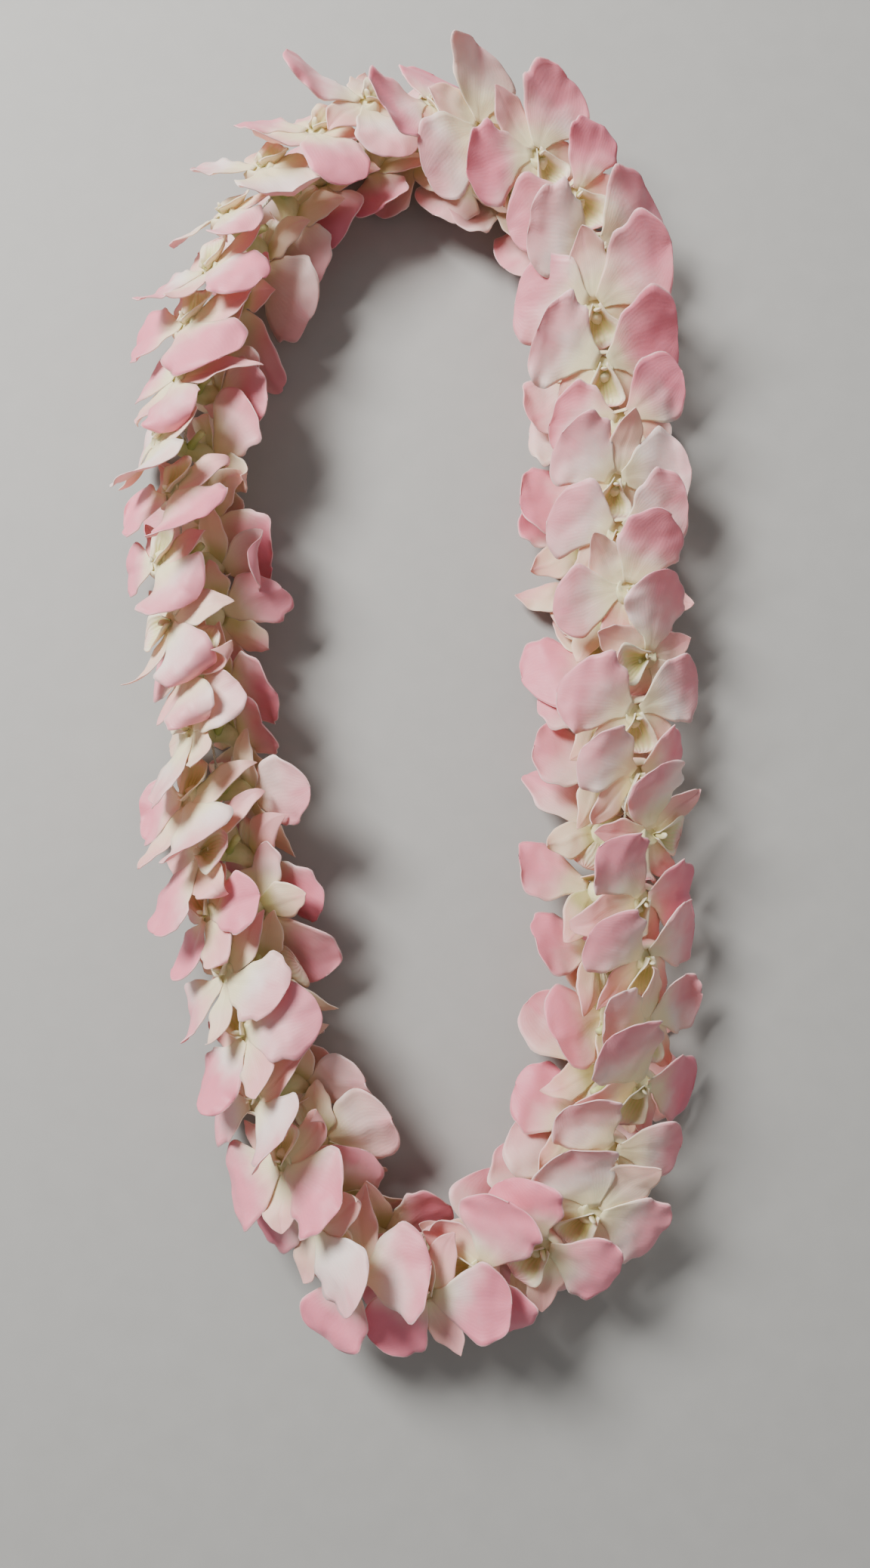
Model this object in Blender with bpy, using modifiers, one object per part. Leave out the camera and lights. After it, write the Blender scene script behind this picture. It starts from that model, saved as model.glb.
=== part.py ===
"""A double orchid lei laid flat on a table.

Ninety-two dendrobium blooms are strung in pairs on one closed loop of thread. The two blooms of a pair
share a place on the thread and lean away from each other. Each bloom lies like a shingle: its top sepal
points back along the strand and lies over the bloom before it. The lowest petals are pressed flat on the
table, which is z = 0. Lengths are in metres, +Z is up, and the loop is longest along Y.
"""

import math
import random

import bmesh
import bpy
from mathutils import Vector

MM = 0.001
PAIRS = 46
SEED = 9

# Points along the middle of the lei, clockwise from the top right, chosen by hand in millimetres.
ROUTE = [
    (28, 263), (54, 233), (67, 192), (66, 145), (67, 105), (72, 60), (73, 15), (70, -35), (69, -80),
    (66, -113), (54, -143), (31, -163), (2, -170), (-25, -162), (-47, -137), (-62, -101), (-72, -60),
    (-80, -18), (-85, 30), (-95, 75), (-99, 118), (-96, 163), (-86, 207), (-68, 244), (-38, 268), (-4, 275),
]
STEPS = 40
# Moves the finished lei so that the middle of its outline is the origin.
CENTRE_SHIFT = (10.863 * MM, -56.005 * MM)

# Where each row of blooms faces, in degrees round the strand: 0 faces the inside of the loop, 90 faces
# up, 180 faces the outside. Each entry is the pair's number, the outer row and the inner row. Low on the
# right strand and all down the left one the strand is twisted, so that the seam of the rows shows.
FACING = [
    (0, 101, -80), (4, 94, -86), (8, 98, -82), (12, 126, -52), (15, 128, -48), (19, 104, -76), (21, 98, -80),
    (26, 128, -44), (30, 140, -30), (34, 122, -50), (38, 138, -34), (42, 120, -58), (46, 101, -80),
]
# How high the thread runs over the table, in millimetres, by pair.
THREAD_HEIGHTS = [(0, 21), (6, 19), (12, 21), (19, 21), (26, 22), (42, 22), (46, 21)]

THREAD_RADIUS = 0.6 * MM
HOLE_RADIUS = 1.15 * MM
HUB_RADIUS = 3.3 * MM
PETAL_THICKNESS = 0.7 * MM
THROAT_RADIUS = 4.0 * MM
COLUMN_HEIGHT = 2.6 * MM
STEM_LENGTH = 8.0 * MM
STEM_RADIUS = 1.0 * MM
# How a cut stem leans: to the seam between the rows, out with its own bloom and down the strand.
STEM_WAY = (0.85, -0.1, 0.4)
KNOT_PLACE = 23
KNOT_RADIUS = 1.7 * MM
TAIL_LENGTH = 6.0 * MM
# How the knot's cut ends lean: up, along the strand and aside.
TAIL_WAY = (0.35, 0.5, 1.0)

# How far a bloom may be turned on its stalk, in degrees. Five tepals stand about 72 degrees apart, so a
# bloom turned that far still fits between its neighbours.
TURNS = (0, 0, 0, 70, -70)
SMALL_TURN = 38
# How far a bloom may differ from the next, at most: in size, in millimetres off its place down the strand
# and round it, and in its lean, as a slope along and across.
SIZE_RANGE = (-0.06, 0.13)
SHIFT_ALONG = 2.5
SHIFT_ASIDE = 8.0
LEAN_ALONG = 0.12
LEAN_ASIDE = 0.26
# How far one tepal may swing from its own direction, in degrees, and how small it may be.
SWING = 7
SMALLEST = 0.84
# The share of their differences that the pairs keep which sit closest, as where the strand bends. A calm
# pair, under CALM, isn't turned by a whole tepal.
LOOSENESS = {
    0: 0.42, 2: 0.65, 3: 0.65, 4: 0.80, 5: 0.80, 6: 0.64, 7: 0.80, 10: 0.65, 11: 0.52, 12: 0.80,
    13: 0.65, 14: 0.65, 17: 0.65, 18: 0.52, 19: 0.52, 20: 0.65, 22: 0.64, 23: 0.80, 24: 0.65,
    25: 0.65, 26: 0.80, 27: 0.80, 30: 0.80, 38: 0.64, 39: 0.80, 40: 0.52, 41: 0.42, 42: 0.65,
    44: 0.65, 45: 0.27,
}
CALM = 0.7

# The layer that a bloom lies on, in millimetres: how far its middle is from the thread, how steeply and
# how hollow it slopes along the strand, how it arches down at the sides, and how close it folds up beside
# the other row.
LAYER_HEIGHT = 11.0
LAYER_SLOPE = 0.39
LAYER_HOLLOW = 0.0046
LAYER_ARCH = 0.46
ARCH_WIDTH = 28
LOWEST_ARCH = 0.2
ROW_GAP = 1.05

# Where a tepal that points down the strand starts to be pressed short, how much longer it gets there at
# the middle, and how much more it may reach beside the next pair's stalk, in millimetres.
PRESS_START = 9
PRESS_REACH = 7
STALK_HALF_WIDTH = 6
SIDE_REACH = 1.3
# How far over the table a petal starts to be pressed up, and how far under it would lie where it is flat.
PRESS_DEPTH = 6 * MM

# How the edge of a bloom curls up and down in waves round it, in millimetres. The bloom on top holds the
# edge flat. It is free where it lies over the bloom before it and at the side of the strand.
HELD_CURL = 0.4
FREE_CURL = 8.0
FREE_START = 7
FREE_RUN = 16
SIDE_CURL = 4.0
SIDE_START = 18
SIDE_RUN = 10
# How far out the curl is full, how many times each wave rises round the bloom, the least and most that it
# rises as a share of the curl, and how much the free edge leans up rather than down.
FULL_REACH = 28
WAVES = (1, 2, 3)
WAVE_RANGE = (0.15, 0.45)
UPWARD = 0.6

# Each tepal: the side of the throat that it grows from, the angle that its tip turns to, both in degrees
# from the top sepal, its length, and its rows from root to tip. A row is how far along the length, the
# half width and the lift off the bloom's own layer, in millimetres. The last row is the tip.
TEPALS = {
    "top_sepal": (0, 0, 22.5, [(0.44, 6.6, -0.8), (0.76, 5.0, -0.6), (1.0, 0.0, 0.0)]),
    "petal": (60, 68, 26.5, [(0.50, 11.6, 0.9), (0.82, 8.4, 1.0), (1.0, 0.0, 0.8)]),
    "side_sepal": (120, 135, 24.0, [(0.42, 6.2, -0.8), (0.74, 4.6, -0.7), (1.0, 0.0, -0.4)]),
    "lip": (180, 180, 11.5, [(0.36, 2.4, 2.2), (0.70, 5.2, 3.6), (1.0, 0.0, 2.6)]),
}
# How early a tepal has turned to its tip's angle: 1 is at the tip, 2 is halfway.
TURN_PACE = 1.6
# A point this far aside of a tepal, in millimetres, tells the two ends of its rows apart.
FAR_ASIDE = 30
# The tepals round the throat, each with the side that it is on.
TEPAL_ORDER = [
    ("top_sepal", 1), ("petal", 1), ("side_sepal", 1), ("lip", 1), ("side_sepal", -1), ("petal", -1),
]


def between(keys, place):
    """The values of a list of keys at a place, straight from one key to the next."""
    for (start, *first), (end, *second) in zip(keys, keys[1:]):
        if start <= place <= end:
            share = (place - start) / (end - start)
            return [a + (b - a) * share for a, b in zip(first, second)]
    raise ValueError(place)


def loop_point(place):
    """A point on the smooth closed curve through ROUTE, in millimetres."""
    step = int(place)
    share = place - step
    before, start, end, after = (Vector(ROUTE[(step + k) % len(ROUTE)]) for k in (-1, 0, 1, 2))
    way_in, way_out = (end - before) / 2, (after - start) / 2
    a = 2 * start - 2 * end + way_in + way_out
    b = 3 * end - 3 * start - 2 * way_in - way_out
    return a * share**3 + b * share**2 + way_in * share + start


def thread_points():
    """One point midway between every two pairs, equally spaced round the loop."""
    fine = [loop_point(n / STEPS) for n in range(STEPS * len(ROUTE) + 1)]
    run = [0.0]
    for here, there in zip(fine, fine[1:]):
        run.append(run[-1] + (there - here).length)
    points = []
    reached = 0
    for number in range(PAIRS):
        wanted = run[-1] * number / PAIRS
        while run[reached + 1] < wanted:
            reached += 1
        share = (wanted - run[reached]) / (run[reached + 1] - run[reached])
        flat = fine[reached].lerp(fine[reached + 1], share)
        height = between(THREAD_HEIGHTS, number)[0]
        shifted = Vector((flat.x, flat.y, height)) * MM
        points.append(shifted + Vector((*CENTRE_SHIFT, 0)))
    return points


def layer_height(along, aside, spread):
    """How far a bloom's layer lies from the thread, in millimetres.

    along runs down the strand from the bloom's middle and aside runs round it. spread is half the angle
    to the next row on that side: narrow, the layer folds up beside its neighbour, and wide, it arches
    down over the strand.
    """
    height = LAYER_HEIGHT - LAYER_SLOPE * along + LAYER_HOLLOW * along * along
    if spread < 90:
        return math.hypot(height, ROW_GAP * aside / math.tan(math.radians(spread)))
    return height * max(LOWEST_ARCH, 1 - LAYER_ARCH * (aside / ARCH_WIDTH) ** 2)


class Bloom:
    """One bloom's place on the thread and its own seeded differences."""

    def __init__(self, number, row, here, there):
        angles = between(FACING, number + 0.5)
        facing = math.radians(angles[row])
        self.middle = (here + there) / 2
        self.along = (there - here).normalized()
        inward = self.along.cross(Vector((0, 0, 1))).normalized()
        up = inward.cross(self.along)
        self.out = inward * math.cos(facing) + up * math.sin(facing)
        self.aside = up * math.cos(facing) - inward * math.sin(facing)
        over = (angles[0] - angles[1]) / 2
        self.spreads = (over, 180 - over) if row else (180 - over, over)
        draw = random.Random(SEED * 1000 + number * 2 + row)
        loose = LOOSENESS.get(number, 1.0)
        self.size = 1 + loose * draw.uniform(*SIZE_RANGE)
        turns = (loose * draw.uniform(-SMALL_TURN, SMALL_TURN), draw.choice(TURNS))
        self.turn = math.radians(turns[0] + (turns[1] if loose > CALM else 0))
        self.shift = [loose * draw.uniform(-most, most) for most in (SHIFT_ALONG, SHIFT_ASIDE)]
        self.lean = [loose * draw.uniform(-most, most) for most in (LEAN_ALONG, LEAN_ASIDE)]
        self.waves = [(loose * draw.uniform(*WAVE_RANGE), draw.uniform(0, math.tau)) for _ in WAVES]
        self.swings = [math.radians(loose * draw.uniform(-SWING, SWING)) for _ in TEPAL_ORDER]
        self.lengths = [draw.uniform(SMALLEST, 1.0) for _ in TEPAL_ORDER]

    def place(self, far, angle, across, lift):
        """The point that lies far along the angle from the top sepal, across to its side and lifted.

        Down the strand, a tepal is pressed short before it meets the next pair's stalk. Near the table it
        is pressed softly up, and what would lie well under the table lies flat on it.
        """
        angle += self.turn
        along = (-far * math.cos(angle) + across * math.sin(angle)) * self.size + self.shift[0]
        aside = (far * math.sin(angle) + across * math.cos(angle)) * self.size + self.shift[1]
        reach = PRESS_REACH + SIDE_REACH * max(0.0, abs(aside) - STALK_HALF_WIDTH)
        if along > PRESS_START:
            along = PRESS_START + reach * math.tanh((along - PRESS_START) / reach)
        height = layer_height(along, aside, self.spreads[0] if aside > 0 else self.spreads[1]) + lift
        height += self.lean[0] * (along - self.shift[0]) + self.lean[1] * (aside - self.shift[1])
        point = self.middle + (self.along * along + self.aside * aside + self.out * height) * MM
        over = point.z - PETAL_THICKNESS / 2
        if over < PRESS_DEPTH:
            point.z = PETAL_THICKNESS / 2 + max(0.0, over + PRESS_DEPTH) ** 2 / (4 * PRESS_DEPTH)
        return point

    def curl(self, far, angle):
        """How far the bloom curls up out of its layer there, in millimetres."""
        back = far * math.cos(angle + self.turn)
        free = min(1.0, max(0.0, (back - FREE_START) / FREE_RUN))
        aside = far * math.sin(angle + self.turn) * self.size + self.shift[1]
        beside = min(1.0, max(0.0, (abs(aside) - SIDE_START) / SIDE_RUN))
        wave = sum(size * math.cos(count * angle + start) for count, (size, start) in zip(WAVES, self.waves))
        upward = UPWARD * self.waves[0][0]
        rise = (HELD_CURL + FREE_CURL * free) * (wave + upward) + SIDE_CURL * beside * wave
        return rise * (far / FULL_REACH) ** 2


def grow_tepal(sheet, bloom, edge, number):
    """Extrudes one tepal, row by row, from an edge of the throat."""
    kind, side = TEPAL_ORDER[number]
    root_angle, tip_angle, length, rows = TEPALS[kind]
    scale = bloom.lengths[number]
    apothem = THROAT_RADIUS / MM * math.cos(math.pi / 6)
    for share, half_width, lift in rows:
        grown = bmesh.ops.extrude_edge_only(sheet, edges=[edge])["geom"]
        edge = next(part for part in grown if isinstance(part, bmesh.types.BMEdge))
        angle = math.radians(root_angle + (tip_angle - root_angle) * min(1, TURN_PACE * share)) * side
        angle += bloom.swings[number] * share
        far = apothem + length * share * scale
        side_mark = bloom.place(far, angle, FAR_ASIDE, 0)
        corners = sorted(edge.verts, key=lambda vert: (vert.co - side_mark).length)
        for vert, across in zip(corners, (half_width * scale, -half_width * scale)):
            rise = bloom.curl(math.hypot(far, across), angle + math.atan2(across, far))
            vert.co = bloom.place(far, angle, across, lift + rise)
        if half_width == 0:
            bmesh.ops.pointmerge(sheet, verts=corners, merge_co=corners[0].co)
            return


def flower_sheet(bloom):
    """The open surface of one flower: a six-sided throat with a tepal or lip on each side."""
    sheet = bmesh.new()
    throat = bmesh.ops.create_circle(sheet, cap_ends=True, segments=6, radius=1)["verts"]
    for number, vert in enumerate(throat):
        vert.co = bloom.place(THROAT_RADIUS / MM, math.radians(60 * number + 30), 0, 0)
    middle = sheet.faces[:][0]
    middle.material_index = 1
    edges = [sheet.edges.get((throat[number - 1], throat[number])) for number in range(6)]
    for number, edge in enumerate(edges):
        grow_tepal(sheet, bloom, edge, number)
    for face in sheet.faces:
        if face is not middle:
            face.material_index = 0
    bmesh.ops.recalc_face_normals(sheet, faces=sheet.faces)
    middle.normal_update()
    if middle.normal.dot(bloom.out) < 0:
        bmesh.ops.reverse_faces(sheet, faces=sheet.faces)
    bmesh.ops.triangulate(sheet, faces=sheet.faces)
    return sheet


def thickened(sheet):
    """The sheet as a thin closed solid."""
    mesh = bpy.data.meshes.new("sheet")
    sheet.to_mesh(mesh)
    sheet.free()
    flower = bpy.data.objects.new("sheet", mesh)
    bpy.context.scene.collection.objects.link(flower)
    solid = flower.modifiers.new("Solidify", "SOLIDIFY")
    solid.thickness = PETAL_THICKNESS
    solid.offset = 0
    solid.use_even_offset = True
    made = bpy.data.meshes.new_from_object(flower.evaluated_get(bpy.context.evaluated_depsgraph_get()))
    bpy.data.objects.remove(flower)
    bpy.data.meshes.remove(mesh)
    return made


def open_back(mesh, bloom):
    """Raises the column on the front of the throat and cuts its back open for the stalk."""
    flower = bmesh.new()
    flower.from_mesh(mesh)
    flower.normal_update()
    throat = [face for face in flower.faces if face.material_index == 1]
    back = [face for face in throat if face.normal.dot(bloom.out) < 0]
    front = [face for face in throat if face.normal.dot(bloom.out) > 0]
    whole = bmesh.ops.dissolve_faces(flower, faces=front)["region"]
    tip = bmesh.ops.poke(flower, faces=whole)["verts"][0]
    tip.co += bloom.out * COLUMN_HEIGHT
    bmesh.ops.delete(flower, geom=back, context="FACES")
    flower.to_mesh(mesh)
    flower.free()


def join_at_thread(pair, blooms):
    """Bridges the backs of the two throats with a stalk that bends at the thread, and grows the stems."""
    rims = [edge for edge in pair.edges if edge.is_boundary]
    made = bmesh.ops.bridge_loops(pair, edges=rims)
    cut = bmesh.ops.subdivide_edges(pair, edges=made["edges"], cuts=1)
    ring = [part for part in cut["geom_inner"] if isinstance(part, bmesh.types.BMVert)]
    middle = sum((vert.co for vert in ring), Vector()) / len(ring)
    for vert in ring:
        spoke = (vert.co - middle).normalized()
        vert.co = blooms[0].middle + spoke * HUB_RADIUS
    walls = {face for vert in ring for face in vert.link_faces}
    ridge = (blooms[0].out + blooms[1].out).normalized()
    if ridge.length < 0.5:
        ridge = blooms[0].aside
    for bloom, way in zip(blooms, (ridge, -ridge)):
        grow_stem(pair, walls, bloom, way)


def grow_stem(pair, walls, bloom, way):
    """Draws a flower stem out of the stalk wall that faces its way."""
    hub = bloom.middle
    own = [face for face in walls if (face.calc_center_median() - hub).dot(bloom.out) > 0]
    wall = max(own, key=lambda face: (face.calc_center_median() - hub).normalized().dot(way))
    walls.discard(wall)
    start = wall.calc_center_median()
    stem = bmesh.ops.extrude_discrete_faces(pair, faces=[wall])["faces"][0]
    way = (way * STEM_WAY[0] + bloom.out * STEM_WAY[1] + bloom.along * STEM_WAY[2]).normalized()
    for vert in stem.verts:
        spoke = (vert.co - start).normalized()
        vert.co = start + way * STEM_LENGTH + (spoke - way * spoke.dot(way)) * STEM_RADIUS
        vert.co.z = max(vert.co.z, PETAL_THICKNESS)


def colour(name, base, roughness):
    made = bpy.data.materials.new(name)
    made.use_nodes = True
    shader = made.node_tree.nodes["Principled BSDF"]
    shader.inputs["Base Color"].default_value = (*base, 1)
    shader.inputs["Roughness"].default_value = roughness
    shader.inputs["Metallic"].default_value = 0
    return made


def bloom_pair(number, here, there, lei, cutters, material):
    """Two blooms strung back to back, pierced by the thread hole."""
    blooms = [Bloom(number, row, here, there) for row in (0, 1)]
    pair = bmesh.new()
    for bloom in blooms:
        mesh = thickened(flower_sheet(bloom))
        open_back(mesh, bloom)
        pair.from_mesh(mesh)
        bpy.data.meshes.remove(mesh)
    pair.normal_update()
    join_at_thread(pair, blooms)
    bmesh.ops.triangulate(pair, faces=pair.faces)
    bmesh.ops.recalc_face_normals(pair, faces=pair.faces)
    for face in pair.faces:
        face.material_index = 0
    name = f"bloom_pair_{number + 1:02d}"
    mesh = bpy.data.meshes.new(name)
    pair.to_mesh(mesh)
    pair.free()
    mesh.materials.append(material)
    node = bpy.data.objects.new(name, mesh)
    lei.objects.link(node)

    drill = bmesh.new()
    bmesh.ops.create_cone(
        drill, cap_ends=True, segments=6, radius1=HOLE_RADIUS, radius2=HOLE_RADIUS, depth=6 * HUB_RADIUS
    )
    mesh = bpy.data.meshes.new(name + "_hole")
    drill.to_mesh(mesh)
    drill.free()
    hole = bpy.data.objects.new(name + "_hole", mesh)
    hole.location = blooms[0].middle
    hole.rotation_mode = "QUATERNION"
    hole.rotation_quaternion = blooms[0].along.to_track_quat("Z", "Y")
    hole.hide_render = True
    hole.display_type = "WIRE"
    cutters.objects.link(hole)
    bore = node.modifiers.new("Thread hole", "BOOLEAN")
    bore.operation = "DIFFERENCE"
    bore.object = hole


def solid_object(name, shape, group):
    """A closed shape as an object of its own in a group."""
    mesh = bpy.data.meshes.new(name)
    shape.to_mesh(mesh)
    shape.free()
    made = bpy.data.objects.new(name, mesh)
    group.objects.link(made)
    return made


def knot_shapes(spot, along):
    """The bead of the knot and its two cut ends, as separate closed shapes."""
    bead = bmesh.new()
    bmesh.ops.create_icosphere(bead, subdivisions=2, radius=KNOT_RADIUS)
    bmesh.ops.translate(bead, verts=bead.verts, vec=spot)
    yield bead
    up = Vector((0, 0, 1))
    rise, ahead, out = TAIL_WAY
    for side in (1, -1):
        way = (up * rise + along * ahead * side + along.cross(up) * out * side).normalized()
        tail = bmesh.new()
        bmesh.ops.create_cone(
            tail, cap_ends=True, segments=6, radius1=THREAD_RADIUS, radius2=THREAD_RADIUS, depth=TAIL_LENGTH
        )
        bmesh.ops.rotate(tail, verts=tail.verts, matrix=way.to_track_quat("Z", "Y").to_matrix())
        bmesh.ops.translate(tail, verts=tail.verts, vec=spot + way * TAIL_LENGTH / 2)
        yield tail


def thread_loop(points, lei, material):
    """The closed loop of thread, fused with the knot that ties it."""
    curve = bpy.data.curves.new("thread", "CURVE")
    curve.dimensions = "3D"
    curve.bevel_depth = THREAD_RADIUS
    curve.bevel_resolution = 2
    line = curve.splines.new("POLY")
    line.points.add(len(points) - 1)
    line.use_cyclic_u = True
    for point, spot in zip(line.points, points):
        point.co = (*spot, 1)
    cord = bpy.data.objects.new("cord", curve)
    bpy.context.scene.collection.objects.link(cord)
    mesh = bpy.data.meshes.new_from_object(cord.evaluated_get(bpy.context.evaluated_depsgraph_get()))
    bpy.data.objects.remove(cord)
    thread = bpy.data.objects.new("thread", mesh)
    lei.objects.link(thread)
    pieces = bpy.data.collections.new("knot")
    bpy.context.scene.collection.children.link(pieces)
    along = (points[KNOT_PLACE + 1] - points[KNOT_PLACE]).normalized()
    for number, shape in enumerate(knot_shapes(points[KNOT_PLACE], along)):
        solid_object(f"knot_{number}", shape, pieces)
    tie = thread.modifiers.new("Knot", "BOOLEAN")
    tie.operation = "UNION"
    tie.operand_type = "COLLECTION"
    tie.collection = pieces
    tied = bpy.data.meshes.new_from_object(thread.evaluated_get(bpy.context.evaluated_depsgraph_get()))
    thread.modifiers.clear()
    thread.data = tied
    tied.materials.clear()
    tied.materials.append(material)
    for piece in list(pieces.objects):
        bpy.data.objects.remove(piece)
    bpy.data.collections.remove(pieces)


def main():
    for old in list(bpy.data.objects):
        bpy.data.objects.remove(old)
    lei = bpy.data.collections.new("orchid_lei")
    cutters = bpy.data.collections.new("cutters")
    for group in (lei, cutters):
        bpy.context.scene.collection.children.link(group)
    petal = colour("orchid_petal", (0.88, 0.60, 0.55), 0.55)
    cotton = colour("cotton_thread", (0.80, 0.78, 0.70), 0.8)
    points = thread_points()
    for number in range(PAIRS):
        bloom_pair(number, points[number], points[(number + 1) % PAIRS], lei, cutters, petal)
    thread_loop(points, lei, cotton)


main()
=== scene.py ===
# %% [markdown]
# # A double orchid lei, laid flat
#
# The lei is ninety-two dendrobium blooms on one loop of cotton thread. They are strung in pairs, back to
# back, and each bloom lies over the one before it like a roof shingle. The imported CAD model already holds
# every pair in its place, with petals of a few flat faces. Here each pair gets petals that curve, wave and
# fold, and a finish for each part of a flower. Lengths are in metres and +Z is up.

import math
import random
from types import SimpleNamespace

import bmesh
import bpy
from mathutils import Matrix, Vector, noise


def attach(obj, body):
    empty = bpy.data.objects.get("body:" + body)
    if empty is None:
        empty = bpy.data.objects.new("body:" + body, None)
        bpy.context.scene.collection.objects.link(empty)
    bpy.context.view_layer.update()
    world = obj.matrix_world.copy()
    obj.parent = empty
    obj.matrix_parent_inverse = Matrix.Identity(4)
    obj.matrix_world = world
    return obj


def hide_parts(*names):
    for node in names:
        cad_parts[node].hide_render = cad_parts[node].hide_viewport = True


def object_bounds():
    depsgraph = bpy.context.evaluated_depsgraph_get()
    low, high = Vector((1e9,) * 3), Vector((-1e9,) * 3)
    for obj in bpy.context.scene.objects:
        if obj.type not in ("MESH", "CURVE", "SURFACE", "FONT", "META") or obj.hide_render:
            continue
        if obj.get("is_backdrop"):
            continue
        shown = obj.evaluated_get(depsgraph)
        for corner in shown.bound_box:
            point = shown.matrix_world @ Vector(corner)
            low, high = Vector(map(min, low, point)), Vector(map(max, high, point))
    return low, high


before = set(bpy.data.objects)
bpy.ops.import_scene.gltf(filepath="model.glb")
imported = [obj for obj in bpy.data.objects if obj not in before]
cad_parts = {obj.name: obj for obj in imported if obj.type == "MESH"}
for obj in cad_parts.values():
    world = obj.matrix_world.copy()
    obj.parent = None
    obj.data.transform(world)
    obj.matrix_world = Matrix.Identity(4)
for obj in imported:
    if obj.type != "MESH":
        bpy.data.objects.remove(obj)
cad_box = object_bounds()
print("CAD nodes:", len(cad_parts))

# %% [markdown]
# ## The run of the thread
#
# A finer petal replaces its CAD petal, and it lies in the same place. So this cell and the next ones
# repeat the rule that the CAD model was built from. It starts with the route of the strand: a smooth closed
# curve through listed points, with the pairs of blooms equally spaced on it. A curve drawn by
# hand would be quicker, but it would drift off the solids.

# %% The route
MM = 0.001
PAIRS = 46
SEED = 9
# Points on the route, in millimetres.
ROUTE = [
    (28, 263), (54, 233), (67, 192), (66, 145), (67, 105), (72, 60), (73, 15), (70, -35), (69, -80),
    (66, -113), (54, -143), (31, -163), (2, -170), (-25, -162), (-47, -137), (-62, -101), (-72, -60),
    (-80, -18), (-85, 30), (-95, 75), (-99, 118), (-96, 163), (-86, 207), (-68, 244), (-38, 268), (-4, 275),
]
STEPS = 40
CENTRE_SHIFT = (10.863 * MM, -56.005 * MM)
# How high the thread runs over the floor, in millimetres, by pair.
THREAD_HEIGHTS = [(0, 21), (6, 19), (12, 21), (19, 21), (26, 22), (42, 22), (46, 21)]


def between(keys, place):
    """The values of a list of keys at a place, straight from one key to the next."""
    for (start, *first), (end, *second) in zip(keys, keys[1:]):
        if start <= place <= end:
            share = (place - start) / (end - start)
            return [a + (b - a) * share for a, b in zip(first, second)]
    raise ValueError(place)


def hermite(start, end, way_in, way_out, share):
    """A point on the smooth curve from start to end that leaves and arrives the given ways."""
    a = 2 * start - 2 * end + way_in + way_out
    b = 3 * end - 3 * start - 2 * way_in - way_out
    return a * share**3 + b * share**2 + way_in * share + start


def loop_point(place):
    """A point on the smooth closed curve through ROUTE, in millimetres."""
    step = int(place)
    before, start, end, after = (Vector(ROUTE[(step + k) % len(ROUTE)]) for k in (-1, 0, 1, 2))
    return hermite(start, end, (end - before) / 2, (after - start) / 2, place - step)


def thread_points():
    """One point midway between every two pairs, equally spaced round the loop."""
    fine = [loop_point(n / STEPS) for n in range(STEPS * len(ROUTE) + 1)]
    run = [0.0]
    for here, there in zip(fine, fine[1:]):
        run.append(run[-1] + (there - here).length)
    points = []
    reached = 0
    for number in range(PAIRS):
        wanted = run[-1] * number / PAIRS
        while run[reached + 1] < wanted:
            reached += 1
        share = (wanted - run[reached]) / (run[reached + 1] - run[reached])
        flat = fine[reached].lerp(fine[reached + 1], share)
        height = between(THREAD_HEIGHTS, number)[0]
        points.append(Vector((flat.x, flat.y, height)) * MM + Vector((*CENTRE_SHIFT, 0)))
    return points


string = thread_points()
print("pairs on the thread:", len(string))

# %% [markdown]
# ## The layers
#
# Each bloom lies on a layer that slopes like a shingle, so the next bloom's petals pass over it and not
# through it. The layer arches down at the outer side of the strand and keeps off the other row at the seam.
# All lengths of a bloom are in millimetres until it is put in its place.

# %% Layer of a bloom
LAYER_HEIGHT = 11.0
LAYER_SLOPE = 0.39
LAYER_HOLLOW = 0.0046
LAYER_ARCH = 0.46
ARCH_WIDTH = 28
LOWEST_ARCH = 0.2
ROW_GAP = 1.05
SQUARE = 90


def layer_height(along, aside, spread):
    """How far a layer lies from the thread. spread is half the angle between the rows, in degrees."""
    height = LAYER_HEIGHT - LAYER_SLOPE * along + LAYER_HOLLOW * along * along
    if spread < SQUARE:
        return math.hypot(height, ROW_GAP * aside / math.tan(math.radians(spread)))
    return height * max(LOWEST_ARCH, 1 - LAYER_ARCH * (aside / ARCH_WIDTH) ** 2)


print("layer height over the thread in mm:", layer_height(0, 0, SQUARE))

# %% [markdown]
# ## What differs from bloom to bloom
#
# No two blooms are alike, so their turn, size, place, lean, waves and petal lengths are drawn from a seeded
# source, as in the CAD. The values of this cell say how far each may go. Where blooms have little room they
# may differ less. A petal under the next bloom is held flat, and one that is free curls up.

# %% The ranges of the differences
# Which way the two rows of blooms face, in degrees from the inner side over the sky, by pair.
FACING = [
    (0, 101, -80), (4, 94, -86), (8, 98, -82), (12, 126, -52), (15, 128, -48), (19, 104, -76), (21, 98, -80),
    (26, 128, -44), (30, 140, -30), (34, 122, -50), (38, 138, -34), (42, 120, -58), (46, 101, -80),
]
TURNS = (0, 0, 0, 70, -70)
SMALL_TURN = 38
SIZE_RANGE = (-0.06, 0.13)
SHIFT_ALONG = 2.5
SHIFT_ASIDE = 8.0
LEAN_ALONG = 0.12
LEAN_ASIDE = 0.26
SWING = 7
SMALLEST = 0.84
WAVES = (1, 2, 3)
WAVE_RANGE = (0.15, 0.45)
BLUSH_RANGE = (0.3, 1.0)
# How much of all this a pair may have where it has less room. The large turns need more than CALM.
LOOSENESS = {
    0: 0.42, 2: 0.65, 3: 0.65, 4: 0.80, 5: 0.80, 6: 0.64, 7: 0.80, 10: 0.65, 11: 0.52, 12: 0.80,
    13: 0.65, 14: 0.65, 17: 0.65, 18: 0.52, 19: 0.52, 20: 0.65, 22: 0.64, 23: 0.80, 24: 0.65,
    25: 0.65, 26: 0.80, 27: 0.80, 30: 0.80, 38: 0.64, 39: 0.80, 40: 0.52, 41: 0.42, 42: 0.65,
    44: 0.65, 45: 0.27,
}
CALM = 0.7
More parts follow.
